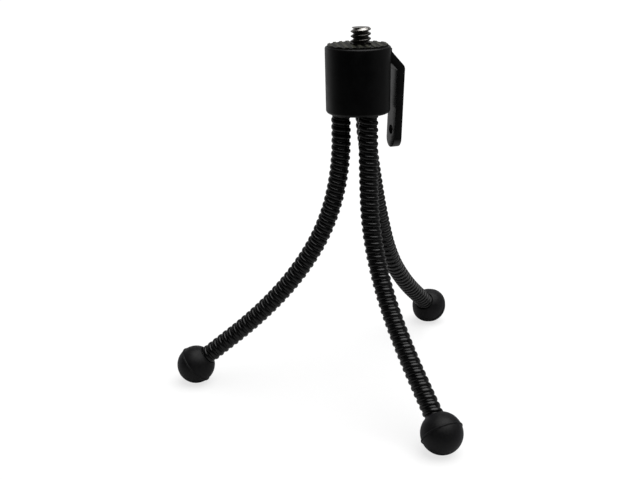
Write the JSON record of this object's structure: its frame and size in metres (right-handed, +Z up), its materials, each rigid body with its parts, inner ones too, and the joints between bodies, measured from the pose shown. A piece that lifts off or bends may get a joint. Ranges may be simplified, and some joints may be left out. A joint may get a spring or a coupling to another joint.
{
  "type": "mini tripod",
  "caption": "Small camera tripod with flexible gooseneck legs, ball feet, a turning head with a captive camera screw and ribbed pad, and a finger lever with a strap hole.",
  "frame": {"origin": "on the floor, in the middle of the overall width and depth of the standing tripod", "axes": "+Z up along the camera screw, +X towards the side that the lever points to, -Y towards the front leg"},
  "size_m": [0.096, 0.112, 0.1191],
  "materials": {
    "shell_plastic": "satin black, smooth moulded plastic",
    "hub_plastic": "satin black",
    "pad_rubber": "matt dark olive grey, ribbed",
    "ball_rubber": "matt black",
    "gooseneck_steel": "semi-gloss black, wound wire",
    "screw_steel": "dull turned steel",
    "inner_steel": "plain steel",
    "washer_nylon": "natural nylon"
  },
  "bodies": {
    "hub": {"leg_hub": "hub_plastic", "retaining_ring": "inner_steel", "left_leg_1": "gooseneck_steel", "front_leg_1": "gooseneck_steel", "rear_leg_1": "gooseneck_steel", "left_root_pin": "inner_steel", "front_root_pin": "inner_steel", "rear_root_pin": "inner_steel"},
    "head": {"head_shell": "shell_plastic", "finger_lever": "shell_plastic", "grip_pad": "pad_rubber", "camera_screw": "screw_steel", "wave_washer": "inner_steel", "thrust_washer": "washer_nylon"},
    "left_leg_2": {"left_leg_2": "gooseneck_steel"},
    "left_leg_3": {"left_leg_3": "gooseneck_steel"},
    "left_leg_4": {"left_leg_4": "gooseneck_steel"},
    "left_leg_5": {"left_leg_5": "gooseneck_steel"},
    "left_leg_6": {"left_leg_6": "gooseneck_steel"},
    "left_leg_7": {"left_leg_7": "gooseneck_steel", "left_foot_pin": "inner_steel", "left_ball_foot": "ball_rubber"},
    "front_leg_2": {"front_leg_2": "gooseneck_steel"},
    "front_leg_3": {"front_leg_3": "gooseneck_steel"},
    "front_leg_4": {"front_leg_4": "gooseneck_steel"},
    "front_leg_5": {"front_leg_5": "gooseneck_steel"},
    "front_leg_6": {"front_leg_6": "gooseneck_steel"},
    "front_leg_7": {"front_leg_7": "gooseneck_steel", "front_foot_pin": "inner_steel", "front_ball_foot": "ball_rubber"},
    "rear_leg_2": {"rear_leg_2": "gooseneck_steel"},
    "rear_leg_3": {"rear_leg_3": "gooseneck_steel"},
    "rear_leg_4": {"rear_leg_4": "gooseneck_steel"},
    "rear_leg_5": {"rear_leg_5": "gooseneck_steel"},
    "rear_leg_6": {"rear_leg_6": "gooseneck_steel"},
    "rear_leg_7": {"rear_leg_7": "gooseneck_steel", "rear_foot_pin": "inner_steel", "rear_ball_foot": "ball_rubber"}
  },
  "joints": [
    {"name": "head_turn", "type": "hinge", "parent": "hub", "child": "head", "pos_m": [0.01426, -0.00267, 0.093], "axis": [0, 0, 1], "continuous": true},
    {"name": "left_leg_swing", "type": "hinge", "parent": "hub", "child": "left_leg_2", "pos_m": [0.00889, -0.00322, 0.0914], "axis": [-1, -0.0035, 0], "range_deg": [-12, 12]},
    {"name": "left_leg_bend_1", "type": "hinge", "parent": "left_leg_2", "child": "left_leg_3", "pos_m": [0.00889, -0.00322, 0.0854], "axis": [-0.0035, 1, 0], "range_deg": [-10, 8]},
    {"name": "left_leg_bend_2", "type": "hinge", "parent": "left_leg_3", "child": "left_leg_4", "pos_m": [0.00646, -0.00323, 0.0656], "axis": [-0.0035, 1, 0], "range_deg": [-10, 24]},
    {"name": "left_leg_bend_3", "type": "hinge", "parent": "left_leg_4", "child": "left_leg_5", "pos_m": [-0.00117, -0.00326, 0.04719], "axis": [-0.0035, 1, 0], "range_deg": [-10, 24]},
    {"name": "left_leg_bend_4", "type": "hinge", "parent": "left_leg_5", "child": "left_leg_6", "pos_m": [-0.01318, -0.0033, 0.03124], "axis": [-0.0035, 1, 0], "range_deg": [-10, 24]},
    {"name": "left_leg_bend_5", "type": "hinge", "parent": "left_leg_6", "child": "left_leg_7", "pos_m": [-0.0278, -0.00335, 0.01762], "axis": [-0.0035, 1, 0], "range_deg": [-10, 24]},
    {"name": "front_leg_swing", "type": "hinge", "parent": "hub", "child": "front_leg_2", "pos_m": [0.01742, -0.00705, 0.0914], "axis": [0.4431, -0.8965, 0], "range_deg": [-12, 12]},
    {"name": "front_leg_bend_1", "type": "hinge", "parent": "front_leg_2", "child": "front_leg_3", "pos_m": [0.01742, -0.00705, 0.0854], "axis": [-0.8965, -0.4431, 0], "range_deg": [-10, 8]},
    {"name": "front_leg_bend_2", "type": "hinge", "parent": "front_leg_3", "child": "front_leg_4", "pos_m": [0.01773, -0.00768, 0.06542], "axis": [-0.8965, -0.4431, 0], "range_deg": [-10, 24]},
    {"name": "front_leg_bend_3", "type": "hinge", "parent": "front_leg_4", "child": "front_leg_5", "pos_m": [0.02016, -0.01259, 0.04633], "axis": [-0.8965, -0.4431, 0], "range_deg": [-10, 24]},
    {"name": "front_leg_bend_4", "type": "hinge", "parent": "front_leg_5", "child": "front_leg_6", "pos_m": [0.02541, -0.02321, 0.03031], "axis": [-0.8965, -0.4431, 0], "range_deg": [-10, 24]},
    {"name": "front_leg_bend_5", "type": "hinge", "parent": "front_leg_6", "child": "front_leg_7", "pos_m": [0.03209, -0.03673, 0.0172], "axis": [-0.8965, -0.4431, 0], "range_deg": [-10, 24]},
    {"name": "rear_leg_swing", "type": "hinge", "parent": "hub", "child": "rear_leg_2", "pos_m": [0.01648, 0.00225, 0.0914], "axis": [0.4695, 0.8829, 0], "range_deg": [-12, 12]},
    {"name": "rear_leg_bend_1", "type": "hinge", "parent": "rear_leg_2", "child": "rear_leg_3", "pos_m": [0.01683, 0.00292, 0.08546], "axis": [0.8829, -0.4695, 0], "range_deg": [-10, 8]},
    {"name": "rear_leg_bend_2", "type": "hinge", "parent": "rear_leg_3", "child": "rear_leg_4", "pos_m": [0.01942, 0.00778, 0.06624], "axis": [0.8829, -0.4695, 0], "range_deg": [-10, 24]},
    {"name": "rear_leg_bend_3", "type": "hinge", "parent": "rear_leg_4", "child": "rear_leg_5", "pos_m": [0.02274, 0.01404, 0.04755], "axis": [0.8829, -0.4695, 0], "range_deg": [-10, 24]},
    {"name": "rear_leg_bend_4", "type": "hinge", "parent": "rear_leg_5", "child": "rear_leg_6", "pos_m": [0.0279, 0.02374, 0.03095], "axis": [0.8829, -0.4695, 0], "range_deg": [-10, 24]},
    {"name": "rear_leg_bend_5", "type": "hinge", "parent": "rear_leg_6", "child": "rear_leg_7", "pos_m": [0.03485, 0.0368, 0.01751], "axis": [0.8829, -0.4695, 0], "range_deg": [-10, 24]}
  ]
}
